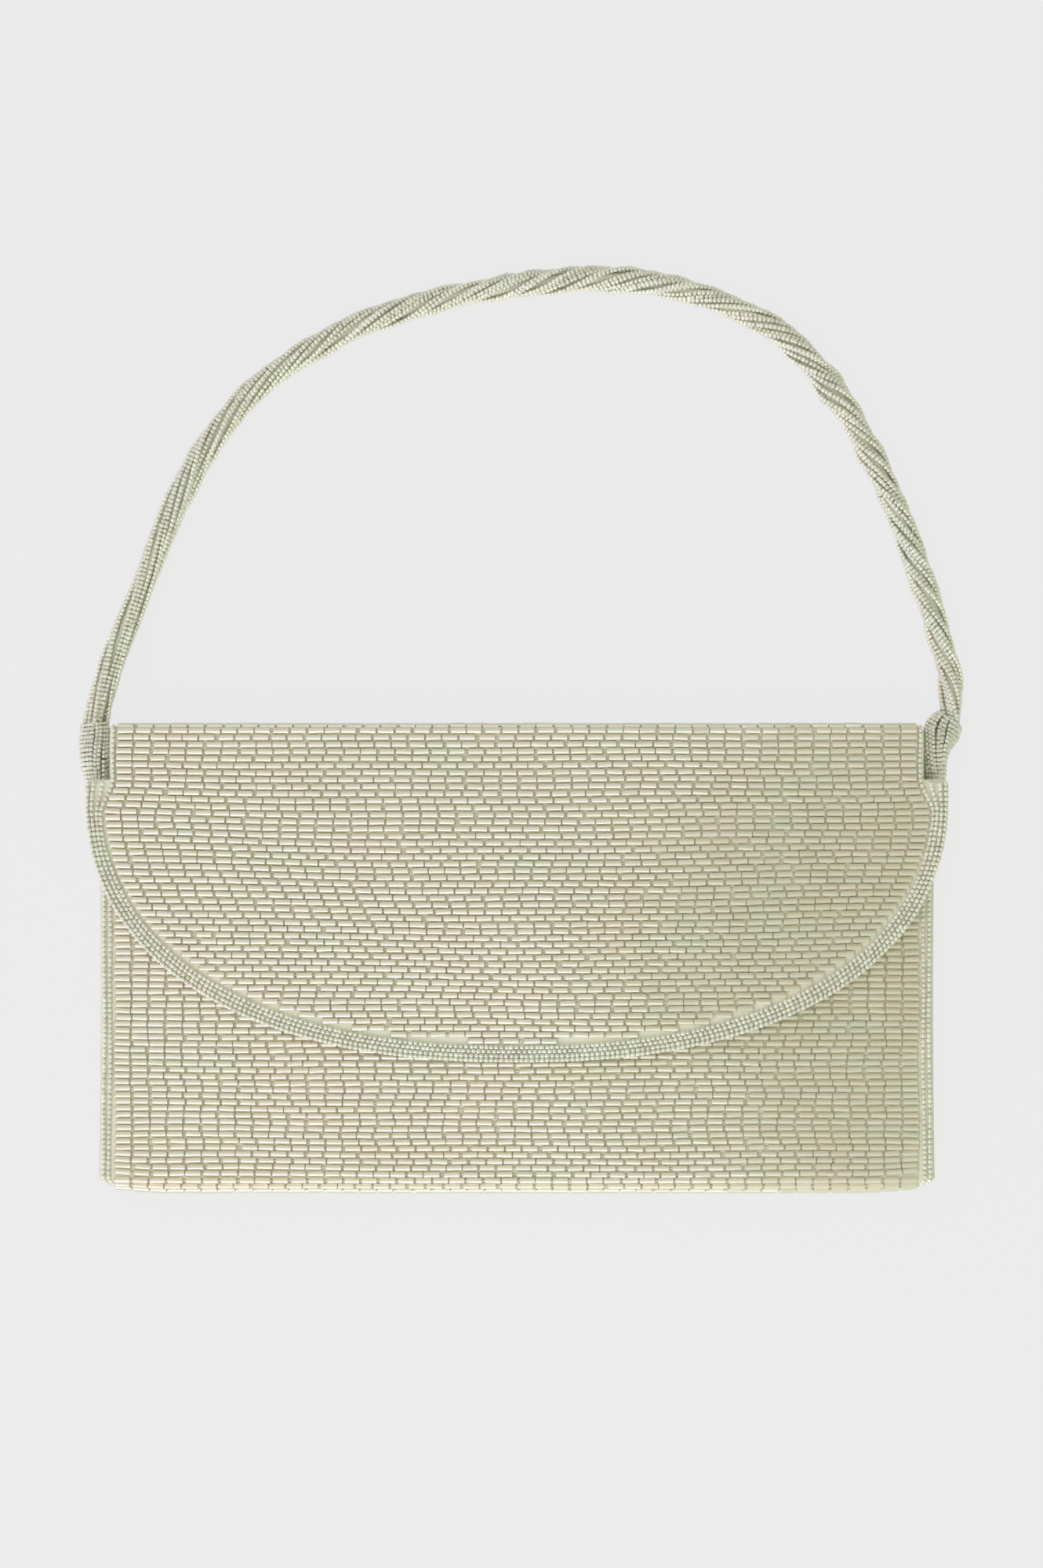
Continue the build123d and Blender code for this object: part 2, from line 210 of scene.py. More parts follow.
def pouch_half(y):
    """Half the pouch's width at a height: its long sides are drawn in a little."""
    middle, reach, waist = -7.3, 60.8, 0.7
    return POUCH_HALF - waist * np.clip(1 - ((y - middle) / reach) ** 2, 0, 1)


# -------- paths

def running_length(path):
    """How far along a path each of its points is."""
    return np.concatenate([[0], np.cumsum(np.linalg.norm(np.diff(path, axis=0), axis=1))])


def at_lengths(path, lengths):
    """Points of a path at these lengths along it."""
    way = running_length(path)
    return np.stack([np.interp(lengths, way, path[:, k]) for k in range(3)], axis=-1)


# -------- meshes

def link(obj):
    bpy.context.scene.collection.objects.link(obj)
    return obj


def mesh_object(name, verts, quads, caps=None, flat_caps=True):
    """A mesh object from points in millimetres, four-cornered faces and equal-sized end caps."""
    mesh = bpy.data.meshes.new(name)
    mesh.vertices.add(len(verts))
    mesh.vertices.foreach_set("co", (np.asarray(verts) * MM).astype(np.float32).ravel())
    loops = [quads.ravel()]
    starts = [np.arange(len(quads)) * 4]
    if caps is not None:
        loops.append(caps.ravel())
        starts.append(len(quads) * 4 + np.arange(len(caps)) * caps.shape[1])
    loops, starts = np.concatenate(loops), np.concatenate(starts)
    mesh.loops.add(len(loops))
    mesh.loops.foreach_set("vertex_index", loops.astype(np.int32))
    mesh.polygons.add(len(starts))
    mesh.polygons.foreach_set("loop_start", starts.astype(np.int32))
    smooth = np.ones(len(starts), bool)
    if flat_caps:
        smooth[len(quads):] = False
    mesh.polygons.foreach_set("use_smooth", smooth)
    mesh.update(calc_edges=True)
    return link(bpy.data.objects.new(name, mesh))


def unit(v):
    return v / np.maximum(np.linalg.norm(v, axis=-1, keepdims=True), 1e-12)


def ring_faces(steps, sides):
    """Faces between rings of points that follow each other, and a cap at each end."""
    j, i = np.meshgrid(np.arange(steps - 1), np.arange(sides), indexing="ij")
    k = (i + 1) % sides
    quads = np.stack([j * sides + i, (j + 1) * sides + i, (j + 1) * sides + k, j * sides + k], -1)
    last = (steps - 1) * sides
    return quads.reshape(-1, 4), np.array([np.arange(sides), last + np.arange(sides)[::-1]])


BUGLE_RINGS = ((-1, 0.0, 0.84), (-1, 0.16, 1.0), (1, 0.16, 1.0), (1, 0.0, 0.84))
SEED_RINGS = ((-1, 0.0, 0.66), (-1, 0.3, 1.0), (1, 0.3, 1.0), (1, 0.0, 0.66))


def bead_mesh(name, start, end, up, radius, rings, sides, straight):
    """Many beads in one mesh, one between each start and end point. rings says, for each ring of the
    bead, which end it is at, how far in from it and its share of the radius. The mesh keeps two
    attributes: "around" is 1 where the glass faces the bag's bottom fold and -1 where it faces its
    top, and "rim" is 1 round the hole at each end."""
    middle, axis = (start + end) / 2, end - start
    half = np.linalg.norm(axis, axis=1) / 2
    ex = unit(axis)
    ey = unit(np.cross(up, ex))
    ez = np.cross(ex, ey)
    angle = 2 * pi * (np.arange(sides) + 0.5) / sides
    ring_side, ring_inset, ring_share = np.array(rings).T.repeat(sides, axis=1)
    turn = np.tile(angle, len(rings))
    count, size = len(start), len(turn)
    radius = np.broadcast_to(radius, count)
    along = ring_side * (half[:, None] - ring_inset)
    across = radius[:, None] * ring_share * np.sin(turn)
    out = radius[:, None] * ring_share * np.cos(turn)
    verts = (middle[:, None] + along[..., None] * ex[:, None] + across[..., None] * ey[:, None]
             + out[..., None] * ez[:, None])
    band, cap = ring_faces(len(rings), sides)
    offset = (np.arange(count) * size)[:, None, None]
    quads, caps = (band + offset).reshape(-1, 4), (cap + offset).reshape(-1, sides)
    obj = mesh_object(name, verts.reshape(-1, 3), quads, caps, flat_caps=straight)
    around = obj.data.attributes.new("around", "FLOAT", "POINT")
    around.data.foreach_set("value", np.tile(-np.sin(turn), count).astype(np.float32))
    rim = obj.data.attributes.new("rim", "FLOAT", "POINT")
    rim.data.foreach_set("value", np.tile(ring_share < 1, count).astype(np.float32))
    if straight:
        mark_ring_edges(obj.data, size, sides, (1, 2))
    return obj


def mark_ring_edges(mesh, size, sides, ring_numbers):
    """Sharp edges round a bead where its straight glass meets its rounded rim."""
    ends = np.zeros(len(mesh.edges) * 2, np.int32)
    mesh.edges.foreach_get("vertices", ends)
    ring = (ends.reshape(-1, 2) % size) // sides
    sharp = (ring[:, 0] == ring[:, 1]) & np.isin(ring[:, 0], ring_numbers)
    mark = mesh.attributes.get("sharp_edge") or mesh.attributes.new("sharp_edge", "BOOLEAN", "EDGE")
    mark.data.foreach_set("value", sharp)


def tube_mesh(name, paths, radius, sides):
    """Thin tubes along several point lists, with closed ends, in one mesh."""
    verts, quads, caps, base = [], [], [], 0
    angle = 2 * pi * np.arange(sides) / sides
    for path in paths:
        path = np.asarray(path, float)
        ex = unit(np.gradient(path, axis=0))
        ey = unit(np.cross(np.broadcast_to(UP, path.shape), ex))
        ez = np.cross(ex, ey)
        ring = ey[:, None] * np.sin(angle)[:, None] + ez[:, None] * np.cos(angle)[:, None]
        verts.append((path[:, None] + radius * ring).reshape(-1, 3))
        quad, cap = ring_faces(len(path), sides)
        quads.append(quad + base)
        caps.append(cap + base)
        base += len(path) * sides
    return mesh_object(name, np.concatenate(verts), np.concatenate(quads), np.concatenate(caps))


def sheet_mesh(name, grid, thickness):
    """A closed sheet of cloth from a grid of points of its outer face, which looks along the grid's
    columns crossed with its rows."""
    rows, columns = grid.shape[:2]
    normal = unit(np.cross(np.gradient(grid, axis=1), np.gradient(grid, axis=0)))
    inner = grid - thickness * normal
    verts = np.concatenate([grid.reshape(-1, 3), inner.reshape(-1, 3)])
    j, i = np.meshgrid(np.arange(rows - 1), np.arange(columns - 1), indexing="ij")
    a = (j * columns + i).ravel()
    face = np.stack([a, a + 1, a + columns + 1, a + columns], -1)
    under = face[:, ::-1] + rows * columns
    edge = np.concatenate([np.arange(columns), np.arange(1, rows) * columns + columns - 1,
                           (rows - 1) * columns + np.arange(columns - 2, -1, -1),
                           np.arange(rows - 2, 0, -1) * columns])
    after = np.roll(edge, -1)
    rim = np.stack([edge, edge + rows * columns, after + rows * columns, after], -1)
    return mesh_object(name, verts, np.concatenate([face, under, rim]))


# -------- bead rows

def beads_in_row(low, high, phase):
    """Start and end of each bead along a row. The beads keep about one pitch, with uneven gaps."""
    count = int((high - low + BUGLE_PITCH - BUGLE_LENGTH + 0.35) / BUGLE_PITCH)
    if count < 1:
        return np.zeros((0, 2))
    lengths = BUGLE_LENGTH * (1 + 0.022 * RANDOM.standard_normal(count))
    slack = high - low - lengths.sum()
    gaps = np.clip(1 + 0.55 * RANDOM.standard_normal(count + 1), 0.22, 3.0)
    gaps[0], gaps[-1] = 0.25 + 1.1 * phase, 0.25 + 1.1 * (1 - phase)
    gaps *= max(slack, 0.02 * count) / gaps.sum()
    starts = low + np.cumsum(gaps[:-1]) + np.concatenate([[0], np.cumsum(lengths[:-1])])
    return np.stack([starts, starts + lengths], axis=1)


class RowSet:
    """Collects beads, row by row, and the thread that runs through them."""

    def __init__(self):
        self.start, self.end, self.up, self.threads = [], [], [], []
        self.left_for_phase, self.phase = 0, 0.5

    def next_phase(self):
        """Neighbouring rows keep nearly the same phase for a few rows and then shift."""
        if self.left_for_phase == 0:
            self.left_for_phase, self.phase = int(RANDOM.integers(1, 5)), RANDOM.random()
        self.left_for_phase -= 1
        return np.clip(self.phase + 0.07 * RANDOM.standard_normal(), 0, 1)

    def add(self, place, low, high, up):
        """place(x) gives points of the row's middle line."""
        spans = beads_in_row(low, high, self.next_phase())
        if not len(spans):
            return
        a, b = place(spans[:, 0]), place(spans[:, 1])
        count = len(spans)
        yaw = 0.045 * RANDOM.standard_normal(count)
        lift = 0.05 * RANDOM.standard_normal(count)
        up = np.broadcast_to(np.asarray(up, float), a.shape)
        side = unit(np.cross(up, b - a))
        a = a + side * yaw[:, None] + up * lift[:, None]
        b = b - side * yaw[:, None] + up * lift[:, None]
        self.start.append(a)
        self.end.append(b)
        self.up.append(up)
        ends = np.linspace(spans[0, 0] - 0.3, spans[-1, 1] + 0.3, 2 * len(spans) + 1)
        self.threads.append(place(ends))

    def drop(self, keep):
        """Leaves out the beads whose middle the function keep refuses."""
        for n, (a, b) in enumerate(zip(self.start, self.end)):
            kept = keep((a + b) / 2)
            self.start[n], self.end[n], self.up[n] = a[kept], b[kept], self.up[n][kept]

    def build(self, name, sides=8):
        start, end, up = (np.concatenate(part) for part in (self.start, self.end, self.up))
        radius = BUGLE / 2 * (1 + 0.018 * RANDOM.standard_normal(len(start)))
        return bead_mesh(name, start, end, up, radius, BUGLE_RINGS, sides, True)


PANEL_HALF = 120.3                       # the pouch's rows end here, beside the side trims


def row_wobble(x, y, seed):
    """How far a row strays from its line."""
    slow = 0.20 * np.sin(x / 31 + 0.05 * y + 1.1) + 0.12 * np.sin(x / 13.5 + 0.11 * y + 2.0)
    own = 0.05 * np.sin(x / 9.0 + 3.1 * seed)
    return slow + own


def row_heights(high):
    """Heights of a panel's rows, from the bottom fold up."""
    count = int((high - FOLD_Y) / ROW_PITCH)
    pitch = (high - FOLD_Y) / count
    return [FOLD_Y + (n + 0.5) * pitch for n in range(count)]


def front_rows():
    rows = RowSet()
    low, high = cad("snap_socket")
    snap_y, snap_radius = (low[1] + high[1]) / 2, (high[0] - low[0]) / 2

    for n, middle_y in enumerate(row_heights(MOUTH_Y)):

        def place(x, middle_y=middle_y, n=n):
            free = np.clip((MOUTH_Y - middle_y) / 8, 0, 1)
            y = middle_y + free * row_wobble(x, middle_y, n) + corner_lift(x, middle_y)
            return front_place(x, y, BUGLE / 2)

        rows.add(place, -PANEL_HALF, PANEL_HALF, UP)
    reach = snap_radius + 0.4
    rows.drop(lambda p: (np.maximum(np.abs(p[:, 0]) - BUGLE_LENGTH / 2, 0) ** 2
                         + (p[:, 1] - snap_y) ** 2) > reach ** 2)
    return rows


def fold_rows():
    rows = RowSet()
    count = 7
    for n in range(count):
        turn = pi * (n + 0.5) / count
        up = (0.0, -sin(turn), cos(turn))

        def place(x, turn=turn):
            here = fold_place(x, np.full(len(x), turn), BUGLE / 2)
            here[:, 1] += 0.25 * row_wobble(x, -70.0, 5) * sin(turn)
            return here

        rows.add(place, -PANEL_HALF, PANEL_HALF, up)
    return rows


def back_rows():
    rows = RowSet()
    for n, middle_y in enumerate(row_heights(BACK_HIGH_Y)):

        def place(x, middle_y=middle_y, n=n):
            free = np.clip((BACK_HIGH_Y - middle_y) / 8, 0, 1)
            y = middle_y + free * row_wobble(x, middle_y + 40, n)
            return np.stack([x, y, np.full(len(x), BUGLE / 2)], axis=-1)

        rows.add(place, -PANEL_HALF, PANEL_HALF, DOWN)
    return rows


def spine_rows():
    rows = RowSet()
    count = 6
    high = SPINE_HIGH_Z - 0.1
    for n in range(-1, count):
        z = BUGLE / 2 if n < 0 else SPINE_LOW_Z + (n + 0.5) * (high - SPINE_LOW_Z) / count
        up = (0.0, 0.7, -0.7) if n < 0 else (0.0, 1.0, 0.0)

        def place(x, z=z, n=n):
            y = TOP_Y - BUGLE / 2 - 0.12 * (1 + np.sin(x / 23 + n))
            return np.stack([x, y, np.full(len(x), z)], axis=-1)

        rows.add(place, -NOTCH_HALF + NOTCH_ROWS_INSET, NOTCH_HALF - NOTCH_ROWS_INSET, up)
    return rows


def flap_rows():
    rows = RowSet()
    first = SPINE_HIGH_Z + 0.3 + BUGLE / 2 - HINGE_Z
    last = flap_along(FLAP_TIP_Y + ROWS_INSET) - BUGLE / 2 - 0.2
    count = int((last - first) / (ROW_PITCH + 0.03)) + 1
    for n in range(count):
        along = first + n * (last - first) / (count - 1)
        hang = SAG * np.clip(n / 18, 0, 1) * np.clip((count - 1 - n) / 18, 0, 1)

        def line(x, along=along, hang=hang, n=n):
            """The row's way along the flap: it sags in the middle and strays a little."""
            free = np.clip(n / 6, 0, 1) * np.clip((count - 1 - n) / 4, 0.2, 1)
            return along + hang * (1 - (x / FLAP_HALF) ** 2) + free * row_wobble(x, 70.0 - along, n)

        def place(x, line=line):
            return flap_place(x, line(x), BUGLE / 2)

        low, high = flap_row_ends(line)
        if high - low < BUGLE_LENGTH:
            continue
        middle = place(np.array([0.0]))[0]
        turn = np.clip((along + FLAT_START) / ARC_LENGTH, 0, 1) * pi / 2
        up = (0.0, cos(turn), sin(turn)) if middle[1] > CROWN_HIGH_Y else UP
        rows.add(place, low, high, up)
    return rows


def shoulder(y):
    """How far the innermost seed line and the rows draw in at the flap's shoulder."""
    share = np.clip((y - SHOULDER_LOW) / (NOTCH_Y + 0.5 - SHOULDER_LOW), 0, 1)
    return SHOULDER_STEP * share * share * (3 - 2 * share)


def flap_row_ends(line):
    """Where a row meets the edging, on the left and on the right."""
    ends = []
    for side in (-1, 1):
        x = side * 60.0
        for _ in range(30):
            y = float(flap_place(np.array([x]), line(np.array([x])), BUGLE / 2)[0, 1])
            edge = min(y - BUGLE / 2, FLAP_SIDE_Y)
            reach = flap_half(edge, ROWS_INSET) - shoulder(y)
            x = 0.5 * x + 0.5 * side * reach
        ends.append(x)
    return ends


# -------- seed beads

def string_seeds(path, pitch, size):
    """Seed beads strung along a fine path: start, end and radius of each."""
    length = running_length(path)[-1]
    count = max(int(length / pitch), 1)
    middle = (np.arange(count) + 0.5) * length / count
    middle = middle + 0.05 * pitch * RANDOM.standard_normal(count)
    half = 0.5 * pitch * (0.90 + 0.05 * RANDOM.standard_normal(count)).clip(0.75, 0.98)
    radius = size / 2 * (1 + 0.05 * RANDOM.standard_normal(count)).clip(0.88, 1.12)
    return at_lengths(path, middle - half), at_lengths(path, middle + half), radius


def seed_lines(name, paths, ups, pitch=SEED_PITCH, size=SEED, sides=7):
    """A piece made of several strings of seed beads."""
    start, end, up, radius = [], [], [], []
    for path, path_up in zip(paths, ups):
        a, b, r = string_seeds(path, pitch, size)
        start.append(a)
        end.append(b)
        radius.append(r)
        up.append(np.broadcast_to(np.asarray(path_up, float), a.shape))
    start, end, up, radius = (np.concatenate(part) for part in (start, end, up, radius))
    return bead_mesh(name, start, end, up, radius, SEED_RINGS, sides, False)


TRIM_INSETS = (1.2, 2.95)


def trim_path_front(side, inset):
    """A line of seed beads down one side of the front and round the bottom fold."""
    y = np.linspace(NOTCH_Y - 1.5, FOLD_Y, 120)
    x = side * (pouch_half(y) - inset + 0.12 * np.sin(y / 7 + inset))
    front = front_place(x, y, SEED / 2 + 0.3)
    turn = np.linspace(0.08, pi - 0.08, 30)
    drawn_in = 2.0 * np.sin(turn) ** 2
    round_x = side * (pouch_half(FOLD_Y) - inset - drawn_in)
    fold = fold_place(round_x, turn, SEED / 2 + 0.3 + 0.5 * np.sin(turn))
    return np.concatenate([front, fold])


def trim_path_back(side, inset):
    y = np.linspace(FOLD_Y, NOTCH_Y - 0.5, 120)
    x = side * (pouch_half(y) - inset)
    return np.stack([x, y, np.full(len(y), SEED / 2 + 0.3)], axis=-1)


def trim_up(path):
    """Outward direction along a trim line: out of the front, out of the fold or out of the back."""
    count = max(int(running_length(path)[-1] / SEED_PITCH), 1)
    way = np.linspace(0, len(path) - 1, count).astype(int)
    middle = np.array([0, FOLD_Y, BOTTOM_DEPTH / 2])
    out = path[way] - middle
    out[:, 0] = 0
    front = path[way][:, 1] > FOLD_Y
    out[front] = UP
    return unit(out)


def edging_path(inset, order):
    """One line of the edging, from the left corner round the tip to the right corner. At the shoulders
    the lines draw in; the innermost runs on up beside the handle's end and over the root."""
    turn = np.linspace(0, pi, 400)
    x, y = flap_outline(turn, inset)
    top = NOTCH_Y - 0.5 if order < 3 else TOP_Y
    arm = np.linspace(flap_along(FLAP_SIDE_Y), max(flap_along(top), 0.9), 40)[1:]
    arm_y = FLAP_SIDE_Y - (arm - flap_along(FLAP_SIDE_Y))
    along = np.concatenate([arm[::-1], flap_along(y), arm])
    arm_x = np.full(len(arm), FLAP_HALF - inset)
    y = np.concatenate([arm_y[::-1], y, arm_y])
    side = np.concatenate([np.ones(len(arm)), np.sign(x), -np.ones(len(arm))])
    x = np.concatenate([arm_x, np.abs(x), arm_x])
    drawn_in = shoulder(y) * (0.08, 0.2, 0.55, 1.0)[order]
    stray = 0.09 * np.sin(np.arange(len(x)) / 6.0 + inset)
    return flap_place(-side * (x - drawn_in + stray), along, SEED / 2 + 0.2)


# -------- the handle

def rope_centreline():
    """Points read from the NURBS spline through the route."""
    curve = bpy.data.curves.new("rope_line", "CURVE")
    curve.dimensions = "3D"
    spline = curve.splines.new("NURBS")
    spline.points.add(len(ROPE_ROUTE) - 1)
    for point, (x, y) in zip(spline.points, ROPE_ROUTE):
        point.co = (x * MM, y * MM, ROPE_Z * MM, 1)
    spline.order_u = 3
    spline.use_endpoint_u = True
    spline.resolution_u = 16
    holder = bpy.data.objects.new("rope_line", curve)
    mesh = bpy.data.meshes.new_from_object(holder)
    line = np.array([v.co for v in mesh.vertices], float)
    bpy.data.meshes.remove(mesh)
    bpy.data.objects.remove(holder)
    bpy.data.curves.remove(curve)
    return line / MM


def resample(line, step):
    length = running_length(line)[-1]
    at = np.linspace(0, length, int(length / step) + 1)
    return at_lengths(line, at), at


STRANDS = 13
STRAND_SEED = 1.5
STRAND_PITCH = 1.3


def strand_paths(line, way, radius, twist, seed, count=STRANDS, flatten=1.0, stray=1.0):
    """Strands that lie round a line. radius and twist are given for each of its points, and flatten is
    how high the bundle is for its width. stray scales how unevenly the strands lie."""
    tangent = unit(np.gradient(line, axis=0))
    side = unit(np.cross(tangent, np.broadcast_to(UP, tangent.shape)))
    paths = []
    for k in range(count):
        lag = 2.4 * k + seed
        wander = 0.16 * np.sin(way / 19 + lag) + 0.09 * np.sin(way / 7.3 + 2 * lag)
        swell = 0.12 * np.sin(way / 13 + 1.9 * lag) + 0.07 * np.sin(way / 5.7 + lag)
        angle = (2 * pi * k / count + twist + stray * wander)[:, None]
        reach = (radius * (1 + stray * swell))[:, None]
        paths.append(line + reach * (np.cos(angle) * np.array(UP) * flatten + np.sin(angle) * side))
    return paths


def rope_radius(way, length):
    """Distance of the strands from the rope's middle: full, with a few lumps."""
    lumps = 0.30 * np.sin(way / 11.5 + 0.8) + 0.20 * np.sin(way / 5.1 + 2.0) * np.sin(way / 37)
    late = np.exp(-((way - 0.735 * length) / 5) ** 2)
    late += 0.8 * np.exp(-((way - 0.79 * length) / 5) ** 2)
    uneven = 0.4 + 0.6 * np.clip(way / length * 1.6, 0, 1)
    return 3.0 + 0.75 * lumps * uneven + 0.8 * late


def rope_twist(way, length):
    """The strands start nearly straight at the left and twist more towards the right."""
    share = way / length
    slope = 0.030 + 0.105 * np.clip((share - 0.08) / 0.45, 0, 1)
    slope -= 0.03 * np.clip((share - 0.88) / 0.12, 0, 1)
    return -np.cumsum(slope * np.gradient(way))


def keep_off_floor(paths, size):
    """Strands stay above the surface that the bag lies on."""
    for path in paths:
        path[:, 2] = np.maximum(path[:, 2], size / 2 + 0.05)
    return paths


def clear_of_tab(paths, side):
    """Round the axis that the handle swings about, the strands stay outside the cloth tab."""
    low, high = cad("handle_tab_right")
    middle = (low + high) / 2
    for path in paths:
        away = np.hypot(path[:, 1] - middle[1], path[:, 2] - middle[2])
        free = np.clip((away - 5.4) / 1.2, 0, 1)
        path[:, 0] = side * np.maximum(side * path[:, 0], TAB_END + 0.85 - free)
    return paths


def strand_ups(paths, line):
    """Outward direction for the beads of each strand."""
    ups = []
    for path in paths:
        count = max(int(running_length(path)[-1] / STRAND_PITCH), 1)
        index = np.linspace(0, len(path) - 1, count).astype(int)
        ups.append(unit(path[index] - line[index]))
    return ups


def build_rope(line):
    fine, way = resample(line, 0.8)
    length = way[-1]
    radius, twist = rope_radius(way, length), rope_twist(way, length)
    paths = keep_off_floor(strand_paths(fine, way, radius, twist, 0.3), STRAND_SEED)
    rope = seed_lines("handle_strands", paths, strand_ups(paths, fine), STRAND_PITCH, STRAND_SEED, 6)
    core_steps, _ = resample(line, 3.0)
    core = tube_mesh("handle_core", [core_steps], 2.1, 12)
    return rope, core, fine, twist


def build_rope_end(name, stations, twist_at, slope):
    """The gathered end of the rope, sewn down beside the flap. Each station gives the middle (x, y) of
    the bundle, the distance of its outer strands from there across and upwards, and its rise above the
    rope's height."""
    stations = np.array(stations)
    u = np.linspace(0, 1, 44)
    at = np.linspace(0, 1, len(stations))
    values = np.stack([np.interp(u, at, column) for column in stations.T], axis=-1)
    for _ in range(6):
        values[1:-1] = (values[:-2] + 2 * values[1:-1] + values[2:]) / 4
    x, y, wide, high, rise = values.T
    line = np.stack([x, y, ROPE_Z + rise], axis=-1)
    way = running_length(line)
    paths = strand_paths(line, way, wide, twist_at + slope * way, 1.1, 20, (high / wide)[:, None], 0.3)
    paths = clear_of_tab(keep_off_floor(paths, STRAND_SEED), np.sign(x[0]))
    return seed_lines(name, paths, strand_ups(paths, line), STRAND_PITCH, STRAND_SEED, 6), line


LEFT_END = [(-126.7, 70.6, 3.7, 3.4, 0.0), (-126.3, 66.0, 4.1, 3.4, 2.2), (-126.2, 62.0, 4.1, 3.4, 4.4),
            (-125.9, 58.0, 3.9, 3.1, 4.8), (-125.3, 53.0, 3.2, 1.9, 3.0)]
RIGHT_END = [(129.9, 71.8, 3.8, 3.4, 0.0), (127.3, 68.0, 5.2, 3.4, 1.6), (125.6, 64.0, 3.8, 3.4, 4.2),
             (124.9, 59.5, 3.0, 3.1, 4.8), (124.9, 53.0, 3.0, 1.9, 3.0)]


# -------- materials

def new_material(name):
    material = bpy.data.materials.new(name)
    material.use_nodes = True
    nodes, links = material.node_tree.nodes, material.node_tree.links
    return material, nodes, links, nodes["Principled BSDF"]


def set_inputs(node, values):
    for key, value in values.items():
        node.inputs[key].default_value = value


def ramp(nodes, links, value, stops):
    """The colour at a value between 0 and 1."""
    node = nodes.new("ShaderNodeValToRGB")
    links.new(value, node.inputs["Fac"])
    while len(node.color_ramp.elements) < len(stops):
        node.color_ramp.elements.new(1.0)
    for element, (position, colour) in zip(node.color_ramp.elements, stops):
        element.position = position
        element.color = (*colour, 1)
    return node.outputs["Color"]


def mix_colours(nodes, links, kind, share, first, second):
    node = nodes.new("ShaderNodeMix")
    node.data_type, node.blend_type = "RGBA", kind
    for socket, value in ((0, share), (6, first), (7, second)):
        if isinstance(value, bpy.types.NodeSocket):
            links.new(value, node.inputs[socket])
        else:
            node.inputs[socket].default_value = value if socket == 0 else (*value, 1)
    return node.outputs[2]


def map_range(nodes, links, value, low, high, to_low, to_high):
    node = nodes.new("ShaderNodeMapRange")
    links.new(value, node.inputs["Value"])
    set_inputs(node, {"From Min": low, "From Max": high, "To Min": to_low, "To Max": to_high})
    return node.outputs["Result"]


def math_node(nodes, links, kind, first, second=0.5):
    node = nodes.new("ShaderNodeMath")
    node.operation = kind
    for socket, value in zip(node.inputs, (first, second)):
        if isinstance(value, bpy.types.NodeSocket):
            links.new(value, socket)
        else:
            socket.default_value = value
    return node.outputs[0]


def add_bump(nodes, links, shader, height, strength, distance):
    bump = nodes.new("ShaderNodeBump")
    set_inputs(bump, {"Strength": strength, "Distance": distance})
    links.new(height, bump.inputs["Height"])
    links.new(bump.outputs["Normal"], shader.inputs["Normal"])


def object_place(nodes):
    return nodes.new("ShaderNodeTexCoord").outputs["Object"]


def attribute(nodes, name):
    node = nodes.new("ShaderNodeAttribute")
    node.attribute_name = name
    return node.outputs["Fac"]


def noise(nodes, links, vector, scale, detail=2.0):
    node = nodes.new("ShaderNodeTexNoise")
    set_inputs(node, {"Scale": scale, "Detail": detail})
    links.new(vector, node.inputs["Vector"])
    return node.outputs["Fac"]


EDGE = (1.0, 0.94, 0.80)                 # painted light: the sides lie deep between the rows, where less light comes, so they are coloured brighter to make up for the shade there
TAN = (0.76, 0.675, 0.52)
PALE = (0.70, 0.655, 0.57)
PALE_COOL = (0.66, 0.638, 0.582)
# painted shade: the ends of each bugle, round its hole, are darkened and warmed a little where the shade in
# the hole and the joint would fall
HOLE_SHADE = (0.92, 0.88, 0.76)


def glass_material(name, stops, tints, roughness, metallic, rim_shade):
    """Silver-lined glass beads: a metal lining seen through a clear coat. The colour changes round the bead,
    with painted light on the sides that lie low between rows and painted shade round the hole at each end,
    and each bead has its own tint and polish."""
    material, nodes, links, shader = new_material(name)
    # the colour round the bead, from stops that carry painted light on its sides
    position = map_range(nodes, links, attribute(nodes, "around"), -1, 1, 0, 1)
    lining = ramp(nodes, links, position, stops)
    bead_number = nodes.new("ShaderNodeNewGeometry").outputs["Random Per Island"]
    tint = ramp(nodes, links, bead_number, tints)
    colour = mix_colours(nodes, links, "MULTIPLY", 1.0, lining, tint)
    place = object_place(nodes)
    patches = noise(nodes, links, place, 45)
    warm = map_range(nodes, links, patches, 0.35, 0.65, 0, 1)
    drift = ramp(nodes, links, warm, [(0, (1.0, 0.97, 0.93)), (1, (0.96, 1.0, 0.95))])
    colour = mix_colours(nodes, links, "MULTIPLY", 0.8, colour, drift)
    # painted shade round each hole: the rim is multiplied by rim_shade
    colour = mix_colours(nodes, links, "MULTIPLY", attribute(nodes, "rim"), colour, rim_shade)
    links.new(colour, shader.inputs["Base Color"])
    set_inputs(shader, {"Metallic": metallic, "Coat Weight": 1.0, "Coat Roughness": 0.05, "Coat IOR": 2.0})
    scrambled = math_node(nodes, links, "FRACT", math_node(nodes, links, "MULTIPLY", bead_number, 37.0))
    stops = [(at, (value,) * 3) for at, value in zip((0.0, 0.8, 1.0), roughness)]
    links.new(ramp(nodes, links, scrambled, stops), shader.inputs["Roughness"])
    streaks = noise(nodes, links, place, 900, 1.0)
    add_bump(nodes, links, shader, streaks, 0.06, 0.0002)
    return material


# colour round a bugle; its two ends carry the painted light on the sides
BUGLE_STOPS = [(0.0, EDGE), (0.12, TAN), (0.42, PALE), (0.62, PALE_COOL), (0.88, PALE), (1.0, EDGE)]
BUGLE_TINTS = [(0.0, (0.94, 0.92, 0.88)), (0.35, (1.0, 0.99, 0.97)), (0.6, (0.97, 0.99, 0.97)),
               (0.85, (1.0, 0.98, 0.97)), (1.0, (0.92, 0.94, 0.90))]
